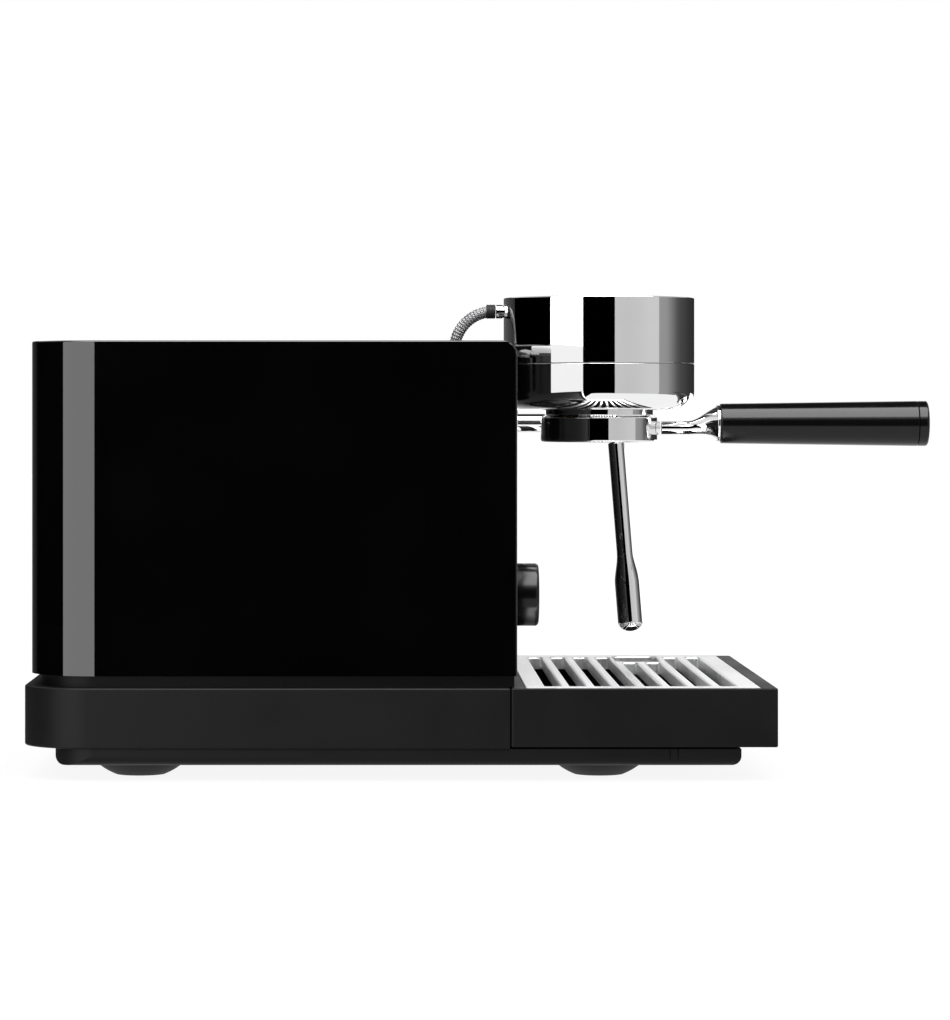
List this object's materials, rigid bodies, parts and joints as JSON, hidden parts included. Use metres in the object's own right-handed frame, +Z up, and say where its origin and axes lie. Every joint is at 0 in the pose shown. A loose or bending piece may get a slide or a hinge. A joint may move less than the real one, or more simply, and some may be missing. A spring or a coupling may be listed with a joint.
{
  "type": "espresso machine",
  "caption": "Low black espresso machine with a round chrome brew head, portafilter, steam wand, slotted drip tray and lift-out water tank behind.",
  "frame": {"origin": "on the table, under the middle of the overall box", "axes": "+Z up; -Y is the front, where the grip points; +X is the steam wand's side"},
  "size_m": [0.31, 0.5294, 0.275],
  "materials": {
    "base_plastic": "fine matt black moulding",
    "gloss_black": "deep gloss black enamel",
    "panel_black": "satin black enamel",
    "frame_steel": "plain galvanised sheet",
    "foot_rubber": "matt black rubber",
    "fastener_steel": "bright zinc",
    "inlet_plastic": "black glass-filled plastic",
    "cast_neck": "as-cast, bead blasted",
    "brass": "machined brass",
    "chrome": "polished chrome",
    "bright_steel": "bright stainless",
    "gasket_rubber": "black seal rubber",
    "copper_pipe": "drawn copper pipe",
    "braid_steel": "woven stainless braid",
    "works_plastic": "plain dark plastic",
    "works_alloy": "die-cast alloy",
    "board": "green circuit board",
    "silicone": "milky silicone hose",
    "lens": "frosted light lens",
    "dial_plastic": "satin black plastic",
    "grip_plastic": "satin black plastic",
    "bowl_chrome": "polished chrome over brass",
    "grid_steel": "brushed stainless sheet",
    "float_red": "black float",
    "tank_clear": "clear smoke plastic"
  },
  "bodies": {
    "machine": {"base_frame": "base_plastic", "base_plate": "base_plastic", "tray_shelf": "base_plastic", "rubber_feet": "foot_rubber", "foot_screws": "fastener_steel", "base_screws": "fastener_steel", "plinth": "base_plastic", "body_shell": "gloss_black", "front_panel": "panel_black", "inner_frame": "frame_steel", "mains_inlet": "inlet_plastic", "group_neck": "cast_neck", "group_body": "brass", "bayonet_ring": "chrome", "group_gasket": "gasket_rubber", "shower_screen": "bright_steel", "screen_screw": "fastener_steel", "head_lower_shell": "chrome", "head_upper_shell": "chrome", "head_top_cap": "chrome", "inlet_pipe": "copper_pipe", "hose_grommet": "gasket_rubber", "head_hose": "braid_steel", "hose_ferrule": "gasket_rubber", "hose_fitting": "chrome", "pump": "works_plastic", "pump_mounts": "gasket_rubber", "thermoblock": "works_alloy", "solenoid_valve": "works_plastic", "control_board": "board", "power_supply": "works_plastic", "water_hose": "silicone", "tank_dock": "base_plastic", "dial_encoder": "works_plastic", "button_board": "board", "steam_valve": "brass", "steam_joint_nut": "chrome", "status_lens": "lens"},
    "dial": {"dial": "dial_plastic", "dial_shaft": "fastener_steel"},
    "power_button": {"button_power": "dial_plastic"},
    "brew_button": {"button_brew": "dial_plastic"},
    "steam_button": {"button_steam": "dial_plastic"},
    "wand": {"wand_tube": "chrome", "wand_sleeve": "chrome", "wand_tip": "chrome"},
    "portafilter": {"portafilter_bowl": "bowl_chrome", "filter_basket": "bright_steel", "basket_spring": "fastener_steel", "handle_stem": "bowl_chrome", "handle_collar": "bowl_chrome", "grip": "grip_plastic", "grip_end_cap": "grip_plastic"},
    "tray": {"drip_tray": "base_plastic"},
    "grid": {"drip_grid": "grid_steel"},
    "float": {"float_indicator": "float_red"},
    "tank": {"water_tank": "tank_clear", "tank_outlet": "gasket_rubber", "lid_hinge_pin": "fastener_steel"},
    "lid": {"tank_lid": "gloss_black"}
  },
  "joints": [
    {"name": "tray_slide", "type": "slide", "parent": "machine", "child": "tray", "axis": [0, -1, 0], "range_m": [0, 0.16]},
    {"name": "grid_lift", "type": "slide", "parent": "tray", "child": "grid", "axis": [0, 0, 1], "range_m": [0, 0.015]},
    {"name": "float_rise", "type": "slide", "parent": "tray", "child": "float", "axis": [0, 0, 1], "range_m": [0, 0.008]},
    {"name": "portafilter_turn", "type": "hinge", "parent": "machine", "child": "portafilter", "pos_m": [0, -0.0683, 0.2], "axis": [0, 0, 1], "range_deg": [-45, 0]},
    {"name": "wand_swing", "type": "hinge", "parent": "machine", "child": "wand", "pos_m": [0.105, -0.0223, 0.2], "axis": [0, -1, 0], "range_deg": [-15, 60]},
    {"name": "dial_turn", "type": "hinge", "parent": "machine", "child": "dial", "pos_m": [-0.095, -0.0223, 0.102], "axis": [0, -1, 0], "range_deg": [0, 270]},
    {"name": "power_press", "type": "slide", "parent": "machine", "child": "power_button", "axis": [0, 1, 0], "range_m": [0, 0.0015], "stiffness_N_per_m": 300, "springref_m": -0.001},
    {"name": "brew_press", "type": "slide", "parent": "machine", "child": "brew_button", "axis": [0, 1, 0], "range_m": [0, 0.0015], "stiffness_N_per_m": 300, "springref_m": -0.001},
    {"name": "steam_press", "type": "slide", "parent": "machine", "child": "steam_button", "axis": [0, 1, 0], "range_m": [0, 0.0015], "stiffness_N_per_m": 300, "springref_m": -0.001},
    {"name": "tank_lift", "type": "slide", "parent": "machine", "child": "tank", "axis": [0, 0, 1], "range_m": [0, 0.19]},
    {"name": "lid_open", "type": "hinge", "parent": "tank", "child": "lid", "pos_m": [0, 0.2497, 0.2445], "axis": [-1, 0, 0], "range_deg": [0, 95]}
  ]
}
